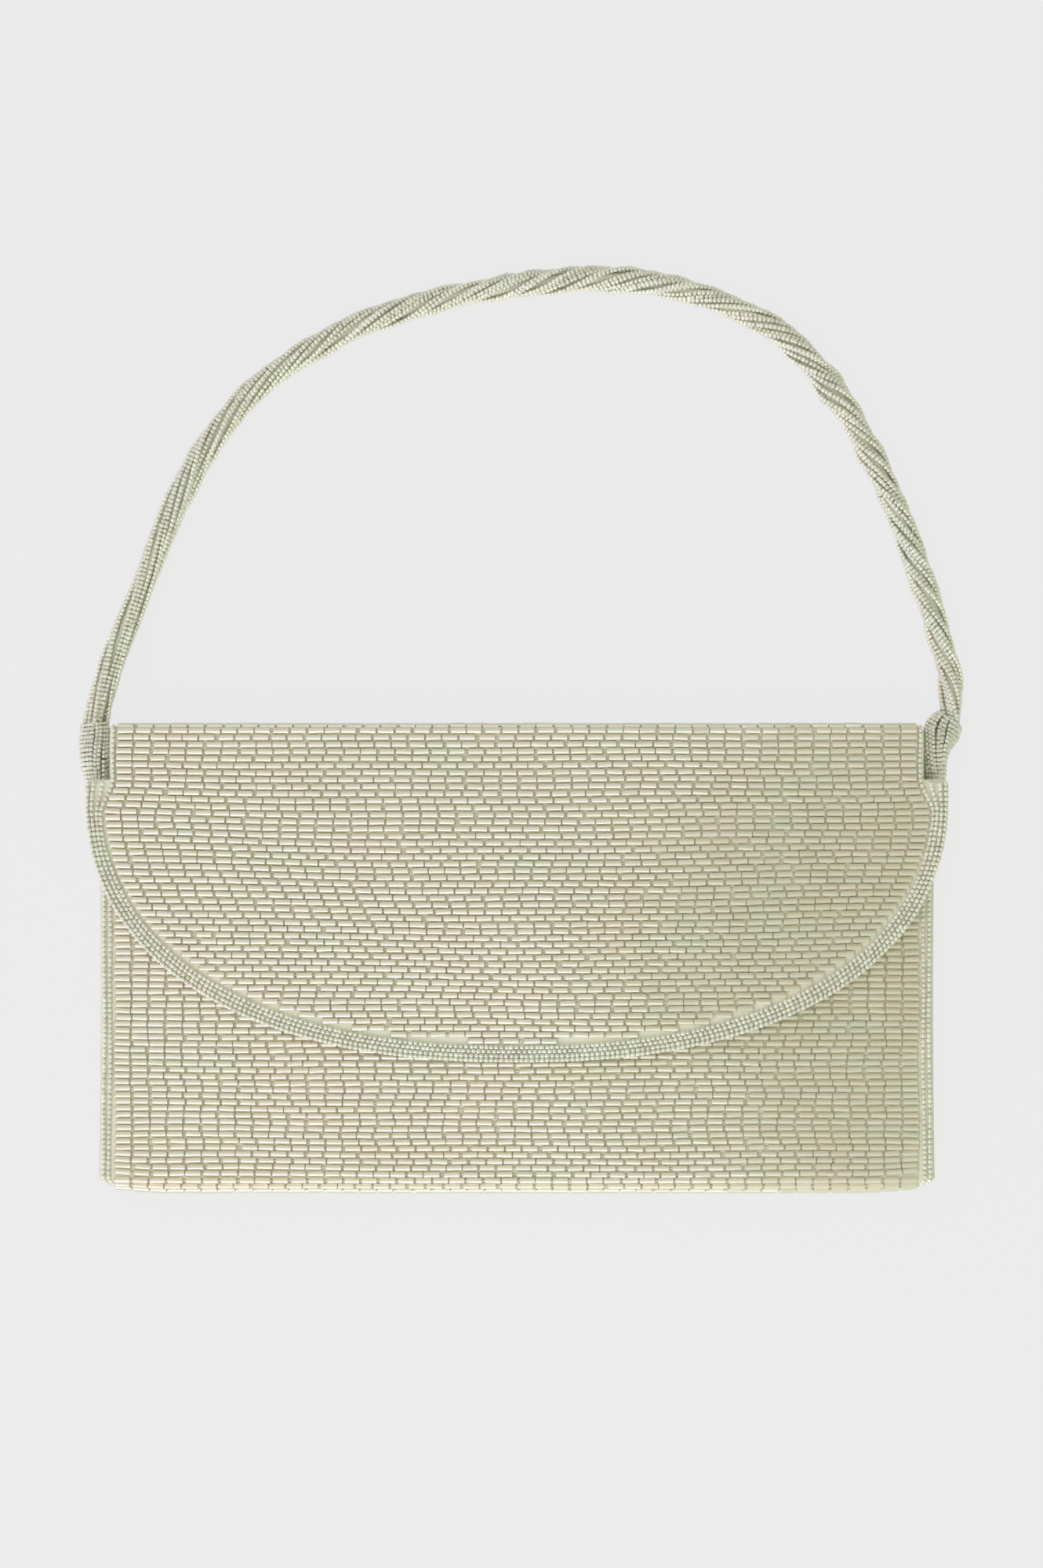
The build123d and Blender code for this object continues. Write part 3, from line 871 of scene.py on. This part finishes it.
# painted light: the seed beads are coloured brighter on their sides, which lie low between neighbouring
# lines and strands, to make up for the shade there
SEED_STOPS = [(0.0, (0.94, 0.92, 0.86)), (0.5, (0.66, 0.65, 0.61)), (1.0, (0.94, 0.92, 0.86))]
SEED_TINTS = [(0.0, (0.86, 0.84, 0.80)), (0.4, (1.0, 0.98, 0.94)), (0.75, (0.97, 1.0, 0.95)),
              (1.0, (1.08, 1.08, 1.05))]


def cloth_material(name, colour, dark, thread_scale, sheen, roughness=0.75):
    """Fine woven cloth: crossed threads as bump and a faint change of colour."""
    material, nodes, links, shader = new_material(name)
    place, bands = object_place(nodes), []
    for direction in ("X", "Y"):
        wave = nodes.new("ShaderNodeTexWave")
        wave.bands_direction = direction
        set_inputs(wave, {"Scale": thread_scale, "Distortion": 1.2, "Detail": 1.0, "Detail Scale": 2.0})
        links.new(place, wave.inputs["Vector"])
        bands.append(wave.outputs["Fac"])
    slub = noise(nodes, links, place, 160, 3.0)
    shade = mix_colours(nodes, links, "MIX", slub, dark, colour)
    shade = mix_colours(nodes, links, "MULTIPLY", 0.25, shade, (0.8, 0.78, 0.72))
    links.new(shade, shader.inputs["Base Color"])
    set_inputs(shader, {"Roughness": roughness, "Sheen Weight": sheen, "Sheen Roughness": 0.4})
    add_bump(nodes, links, shader, math_node(nodes, links, "MULTIPLY", *bands), 0.5, 0.00012)
    return material


def plain_material(name, colour, metallic, roughness, scale, strength, distance):
    """Metal or board: an even colour with fine grain in colour, roughness and bump."""
    material, nodes, links, shader = new_material(name)
    grain = noise(nodes, links, object_place(nodes), scale, 4.0)
    darker = tuple(0.86 * c for c in colour)
    links.new(mix_colours(nodes, links, "MIX", grain, darker, colour), shader.inputs["Base Color"])
    links.new(map_range(nodes, links, grain, 0.3, 0.7, roughness * 0.8, roughness * 1.2),
              shader.inputs["Roughness"])
    set_inputs(shader, {"Metallic": metallic})
    add_bump(nodes, links, shader, grain, strength, distance)
    return material


BUGLE_GLASS = glass_material("bugle_glass", BUGLE_STOPS, BUGLE_TINTS, (0.16, 0.24, 0.40), 0.35, HOLE_SHADE)
SEED_GLASS = glass_material("seed_glass", SEED_STOPS, SEED_TINTS, (0.14, 0.22, 0.36), 0.25,
                            (1.0, 1.0, 0.96))
GROUND_CLOTH = cloth_material("ground_cloth", (0.93, 0.91, 0.79), (0.84, 0.81, 0.68), 1600, 0.2)
LINING_SATIN = cloth_material("lining_satin", (0.74, 0.69, 0.56), (0.68, 0.62, 0.49), 2200, 0.5, 0.42)
THREAD = cloth_material("thread", (0.95, 0.93, 0.82), (0.86, 0.84, 0.72), 2600, 0.3)
BOARD = plain_material("board", (0.42, 0.34, 0.24), 0.0, 0.8, 300, 0.3, 0.0002)
SNAP_METAL = plain_material("snap_metal", (0.78, 0.74, 0.66), 1.0, 0.28, 900, 0.1, 0.0001)
MAGNET = plain_material("magnet", (0.30, 0.30, 0.31), 1.0, 0.4, 700, 0.15, 0.0001)


def dress(obj, material, body=None, replaced=()):
    """Gives a piece its material, the body it rides on and the CAD nodes it stands for."""
    obj.data.materials.clear()
    obj.data.materials.append(material)
    if body:
        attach(obj, body)
    if replaced:
        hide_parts(*replaced)
    return obj


# -------- cloth

def across(half, count):
    """Even steps from one side to the other."""
    return np.linspace(-1, 1, count)[None, :] * np.asarray(half)[:, None]


def pouch_sheet(name, depth, thickness, half_at, high_front, high_back, columns):
    """One sheet that runs down inside the front, round the bottom fold and up the back."""
    front_y = np.linspace(high_front, FOLD_Y, 60)
    turn = np.linspace(0, pi, 14)[1:-1]
    back_y = np.linspace(FOLD_Y, high_back, 60)
    x = across(half_at(front_y), columns)
    front = front_place(x, front_y[:, None] + 0 * x, depth)
    x = across(half_at(np.full(len(turn), FOLD_Y)) - 2.2 * np.sin(turn) ** 2, columns)
    fold = fold_place(x, turn[:, None] + 0 * x, depth)
    x = across(half_at(back_y), columns)
    back = np.stack([x, back_y[:, None] + 0 * x, np.full_like(x, depth)], axis=-1)
    back[..., 2] += 0.06 * (1 + soft_wave(x, back[..., 1], 9, 2.2)) * (depth > 3)
    return sheet_mesh(name, np.concatenate([front, fold, back])[:, ::-1], thickness)


def notched(y, half):
    """A half-width that steps in beside the handle's ends."""
    step = np.clip((y - NOTCH_Y) / 0.6, 0, 1)
    return half * (1 - step) + np.minimum(half, NOTCH_HALF - 0.2) * step


def flap_sheet(name, depth, thickness, inset, spine_depth, spine_low, columns):
    """One sheet from the foot of the top fold, round the flap's root and down to its tip."""
    spine_z = np.linspace(spine_low, HINGE_Z - 0.2, 14)
    x = across(np.full(len(spine_z), NOTCH_HALF - inset), columns)
    spine = np.stack([x, np.full_like(x, TOP_Y - spine_depth), spine_z[:, None] + 0 * x], axis=-1)
    end = flap_along(FLAP_TIP_Y + inset)
    root = np.linspace(0.1, flap_along(CROWN_HIGH_Y), 26)
    face = root[-1] + (end - root[-1]) * np.sin(np.linspace(0, pi / 2, 90)[1:])
    way = np.concatenate([root, face])
    y = flap_place(np.zeros(len(way)), way, depth)[:, 1]
    half = np.maximum(notched(y + 0.6, flap_half(np.minimum(y, FLAP_SIDE_Y), inset)), 0.4)
    half = np.where(y > NOTCH_Y, np.minimum(half, NOTCH_HALF - inset), half)
    x = across(half, columns)
    flap = flap_place(x, way[:, None] + 0 * x, depth)
    return sheet_mesh(name, np.concatenate([spine, flap])[:, ::-1], thickness)


def side_seam(side):
    """The closed side of the pouch: cloth folded in between the back and the front."""
    y = np.concatenate([np.linspace(FOLD_Y + 0.2, NOTCH_Y - 0.9, 70),
                        np.linspace(NOTCH_Y + 0.2, SEAM_HIGH_Y, 14)])
    outer = np.where(y < NOTCH_Y, pouch_half(y) - 0.5, NOTCH_HALF - 0.4)
    low = SEAM_DEPTH
    mouth = MOUTH_Y + 1.3
    high = np.where(y < mouth, front_height(side * outer, y) - SEAM_DEPTH, HINGE_Z - 0.4)
    share = np.linspace(0, 1, 13)
    fold_in = 1.5 * np.sin(pi * share) ** 2
    rings = []
    for n in range(len(y)):
        pucker = 0.10 * np.sin(y[n] / 1.7) + 0.06 * np.sin(y[n] / 0.9 + 2)
        x_out = np.maximum(outer[n] - fold_in * np.clip((outer[n] - 119.6) / 4, 0.2, 1) + pucker, 119.2)
        z = low + share * (high[n] - low)
        ring_x = np.concatenate([x_out, [SEAM_INNER, SEAM_INNER]])
        ring_z = np.concatenate([z, [high[n], low]])
        rings.append(np.stack([side * ring_x, np.full(len(ring_x), y[n]), ring_z], axis=-1))
    rings = np.array(rings)
    quads, caps = ring_faces(*rings.shape[:2])
    if side < 0:
        quads, caps = quads[:, ::-1], caps[:, ::-1]
    return mesh_object(f"side_gusset_{SIDE_NAMES[side]}", rings.reshape(-1, 3), quads, caps)


def mouth_binding():
    """The rolled, bound upper edge of the front."""
    low, high = cad("mouth_binding")
    x = np.linspace(low[0], high[0], 260)
    roll = 2 * pi * np.arange(12) / 12
    centre = (low + high) / 2
    half = (high - low) / 2
    rings = []
    for here in x:
        swell = 1 + 0.05 * sin(here / 1.1) + 0.03 * sin(here / 4.3)
        wide, tall = 0.98 * half[1] * swell, 0.98 * half[2]
        rings.append([(here, centre[1] + wide * cos(a), centre[2] + tall * sin(a)) for a in roll])
    quads, caps = ring_faces(len(x), len(roll))
    return mesh_object("bound_edge", np.array(rings).reshape(-1, 3), quads[:, ::-1], caps[:, ::-1])


def flap_rim():
    """The line of the flap's turned-in edge: beside the notches, along the shoulders, round the tip."""
    inset = 1.3
    face_x, face_y = flap_outline(np.linspace(0, pi, 300), inset)
    foot, step = 1.2, flap_along(NOTCH_Y - 0.9)
    corners = [(NOTCH_HALF - 0.7, foot), (NOTCH_HALF - 0.7, step - 1.0), (NOTCH_HALF, step),
               (FLAP_HALF - 1.8, step), (FLAP_HALF - inset, step + 1.0)]
    side = np.concatenate([np.linspace(a, b, 12, endpoint=False) for a, b in zip(corners, corners[1:])])
    x = np.concatenate([side[:, 0], face_x, -side[::-1, 0]])
    along = np.concatenate([side[:, 1], flap_along(face_y), side[::-1, 1]])
    return flap_place(x, along, 2.9)


def stitches(name, path, up, length, gap, radius):
    """A running stitch along a path, each stitch a short bowed thread."""
    starts = np.arange(0.3, running_length(path)[-1] - length, length + gap)
    bow = np.sin(np.linspace(0, pi, 5))[:, None]
    pieces = [at_lengths(path, start + np.linspace(0, length, 5)) + np.array(up) * (bow * 0.9 - 0.5) * radius
              for start in starts]
    return tube_mesh(name, pieces, radius, 5)


def handle_tab(side):
    """A folded cloth tab in the corner, which the end of the rope is sewn to."""
    name = SIDE_NAMES[side]
    low, high = cad(f"handle_tab_{name}")
    low[0], high[0] = max(low[0], -TAB_END), min(high[0], TAB_END)
    bpy.ops.mesh.primitive_cube_add(size=1)
    tab = bpy.context.active_object
    tab.name = f"corner_tab_{name}"
    tab.data.name = tab.name
    centre, size = (low + high) / 2, high - low
    co = np.array([v.co for v in tab.data.vertices]) * size + centre
    tab.data.vertices.foreach_set("co", (co * MM).astype(np.float32).ravel())
    bevel = tab.modifiers.new("round", "BEVEL")
    bevel.width, bevel.segments = 0.5 * MM, 4
    bpy.ops.object.modifier_apply(modifier=bevel.name)
    for face in tab.data.polygons:
        face.use_smooth = True
    return tab


# -------- put it together

def build_bead_panels():
    """The back lies face down, so its beads are plainer and its threads are left out."""
    threads = []
    for name, make_rows in (("front", front_rows), ("bottom", fold_rows), ("back", back_rows),
                            ("top", spine_rows)):
        rows = make_rows()
        beads = rows.build(f"{name}_bugle_beads", 7 if name == "back" else 8)
        dress(beads, BUGLE_GLASS, "pouch", [f"{name}_bead_rows"])
        if name != "back":
            threads += rows.threads
    dress(tube_mesh("pouch_bead_threads", threads, BEAD_THREAD, 4), THREAD, "pouch")
    rows = flap_rows()
    dress(rows.build("flap_bugle_beads", 10), BUGLE_GLASS, "flap", ["flap_bead_rows"])
    dress(tube_mesh("flap_bead_threads", rows.threads, BEAD_THREAD, 4), THREAD, "flap")


def build_seed_trims():
    for side, name in SIDE_NAMES.items():
        for face, trim_path in (("front", trim_path_front), ("back", trim_path_back)):
            paths = [trim_path(side, inset) for inset in TRIM_INSETS]
            ups = [trim_up(path) if face == "front" else DOWN for path in paths]
            trim = seed_lines(f"{face}_seed_trim_{name}", paths, ups)
            dress(trim, SEED_GLASS, "pouch", [f"{face}_trim_{name}"])
    paths = [edging_path(inset, order) for order, inset in enumerate(EDGING_INSETS)]
    edging = seed_lines("flap_seed_edging", paths, [UP] * len(paths))
    dress(edging, SEED_GLASS, "flap", ["flap_edging"])


def build_handle():
    line = rope_centreline()
    rope, core, fine, twist = build_rope(line)
    dress(rope, SEED_GLASS, "handle", ["handle_rope"])
    dress(core, THREAD, "handle")
    left, left_line = build_rope_end("handle_gather_left", LEFT_END, twist[0], 0.02)
    right, right_line = build_rope_end("handle_gather_right", RIGHT_END, twist[-1], -0.05)
    dress(left, SEED_GLASS, "handle", ["handle_end_left"])
    dress(right, SEED_GLASS, "handle", ["handle_end_right"])
    cores = tube_mesh("handle_end_cores", [left_line, right_line], 2.2, 12)
    dress(cores, THREAD, "handle")
    [tuple(p * MM) for p in fine]


def build_cloths():
    ground = pouch_sheet("pouch_ground_cloth", CLOTH_DEPTH, CLOTH, lambda y: notched(y + 0.6, pouch_half(y)),
                         MOUTH_Y, BACK_HIGH_Y - 0.2, 60)
    dress(ground, GROUND_CLOTH, "pouch", ["front_cloth", "bottom_cloth", "back_cloth"])
    lining = pouch_sheet("pouch_lining", LINING_DEPTH, LINING, lambda y: np.full(len(y), LINING_HALF),
                         MOUTH_Y, LINING_HIGH_Y, 60)
    dress(lining, LINING_SATIN, "pouch", ["front_lining", "bottom_lining", "back_lining"])
    flap = flap_sheet("flap_ground_cloth", CLOTH_DEPTH, CLOTH, 0.25, CLOTH_DEPTH, CLOTH_DEPTH, 70)
    dress(flap, GROUND_CLOTH, None, ["flap_cloth", "top_cloth"])
    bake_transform(flap)
    inner = flap_sheet("flap_lining_satin", LINING_DEPTH, LINING, 1.2, LINING_DEPTH - 0.6, LINING_DEPTH, 70)
    dress(inner, LINING_SATIN, None, ["flap_lining", "top_lining"])
    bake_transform(inner)


def build_cloth_details():
    for side, name in SIDE_NAMES.items():
        dress(side_seam(side), GROUND_CLOTH, "pouch", [f"side_seam_{name}"])
        dress(handle_tab(side), GROUND_CLOTH, "pouch", [f"handle_tab_{name}"])
    dress(mouth_binding(), LINING_SATIN, "pouch", ["mouth_binding"])
    dress(tube_mesh("flap_turned_edge", [flap_rim()], 0.95, 10), GROUND_CLOTH, "flap")
    x, y = flap_outline(np.linspace(0.12, pi - 0.12, 300), 3.6)
    path = flap_place(x, flap_along(y), LINING_DEPTH + LINING + 0.02)
    dress(stitches("flap_hem_stitches", path, DOWN, 2.6, 1.2, 0.16), THREAD, "flap")
    x = np.linspace(-117, 117, 300)
    height = cad("mouth_binding")[1][2] - 0.05
    path = np.stack([x, np.full(300, MOUTH_Y + 0.6), np.full(300, height)], axis=-1)
    dress(stitches("mouth_stitches", path, UP, 1.6, 1.0, 0.14), THREAD, "pouch")


def paint_frame():
    """CAD nodes that stay visible get their finish."""
    finishes = {
        "back_board": BOARD, "front_board": BOARD, "flap_board": BOARD, "snap_socket": SNAP_METAL,
        "snap_stud": SNAP_METAL, "socket_washer": SNAP_METAL, "stud_washer": SNAP_METAL,
        "snap_magnet": MAGNET,
    }
    for node, material in finishes.items():
        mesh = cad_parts[node].data
        mesh.materials.clear()
        mesh.materials.append(material)


# -------- stage, light and camera

FLOOR_Z = -0.0002
CAMERA_HEIGHT = 1.21
VIEW_CENTRE = (0.0014, 0.0522)
VIEW_TALL = 0.4682                       # metres of the object's plane seen from top to bottom
SUBJECT_Z = 0.010


def build_stage():
    bpy.ops.mesh.primitive_plane_add(size=60, location=(0, 0, FLOOR_Z))
    floor = bpy.context.active_object
    floor.name = "floor"
    material, _, _, shader = new_material("floor")
    set_inputs(shader, {"Base Color": (0.06, 0.06, 0.06, 1), "Roughness": 1.0, "Specular IOR Level": 0.0,
                        "Emission Color": (1, 1, 1, 1), "Emission Strength": 0.775})
    floor.data.materials.append(material)


def build_world():
    """Soft light from all round, brighter from the bottom fold's side and dimmer past a panel's edge on
    the right."""
    world = bpy.data.worlds.new("studio")
    bpy.context.scene.world = world
    world.use_nodes = True
    nodes, links = world.node_tree.nodes, world.node_tree.links
    background = nodes["Background"]
    coordinates = nodes.new("ShaderNodeTexCoord")
    parts = nodes.new("ShaderNodeSeparateXYZ")
    links.new(coordinates.outputs["Generated"], parts.inputs[0])
    share = map_range(nodes, links, parts.outputs["Y"], -0.8, 0.8, 0, 1)
    sky = ramp(nodes, links, share, [(0.0, (0.98,) * 3), (0.5, (0.86,) * 3), (1.0, (0.62, 0.62, 0.61))])
    edge = map_range(nodes, links, parts.outputs["X"], 0.03, 0.11, 0, 1)
    sides = ramp(nodes, links, edge, [(0.0, (1.0, 0.99, 1.02)), (1.0, (0.56, 0.63, 0.46))])
    both = mix_colours(nodes, links, "MULTIPLY", 1.0, sky, sides)
    links.new(both, background.inputs["Color"])
    background.inputs["Strength"].default_value = 1.3


def build_lights():
    """One large softbox low on the bottom fold's side, left of the middle: the streaks on the beads
    are its reflection, and they stop where its right edge does."""
    light = bpy.data.lights.new("softbox", "AREA")
    light.shape = "RECTANGLE"
    light.size, light.size_y, light.energy = 0.62, 0.20, 1.75
    lamp = link(bpy.data.objects.new("softbox", light))
    lamp.location = (-0.20, -0.78, 0.44)
    aim = Vector((-0.20, 0.02, 0.0)) - lamp.location
    lamp.rotation_mode = "QUATERNION"
    lamp.rotation_quaternion = aim.to_track_quat("-Z", "Y")


def build_camera():
    data = bpy.data.cameras.new("camera")
    data.sensor_width = 36
    data.lens = 36 * (CAMERA_HEIGHT - SUBJECT_Z) / VIEW_TALL
    camera = link(bpy.data.objects.new("camera", data))
    camera.location = (*VIEW_CENTRE, CAMERA_HEIGHT)
    camera.rotation_euler = (0, 0, 0)
    bpy.context.scene.camera = camera


bpy.context.scene.view_settings.view_transform = "Standard"
build_camera()
build_stage()
build_world()
build_lights()
build_handle()
build_bead_panels()
build_seed_trims()
build_cloths()
build_cloth_details()
paint_frame()
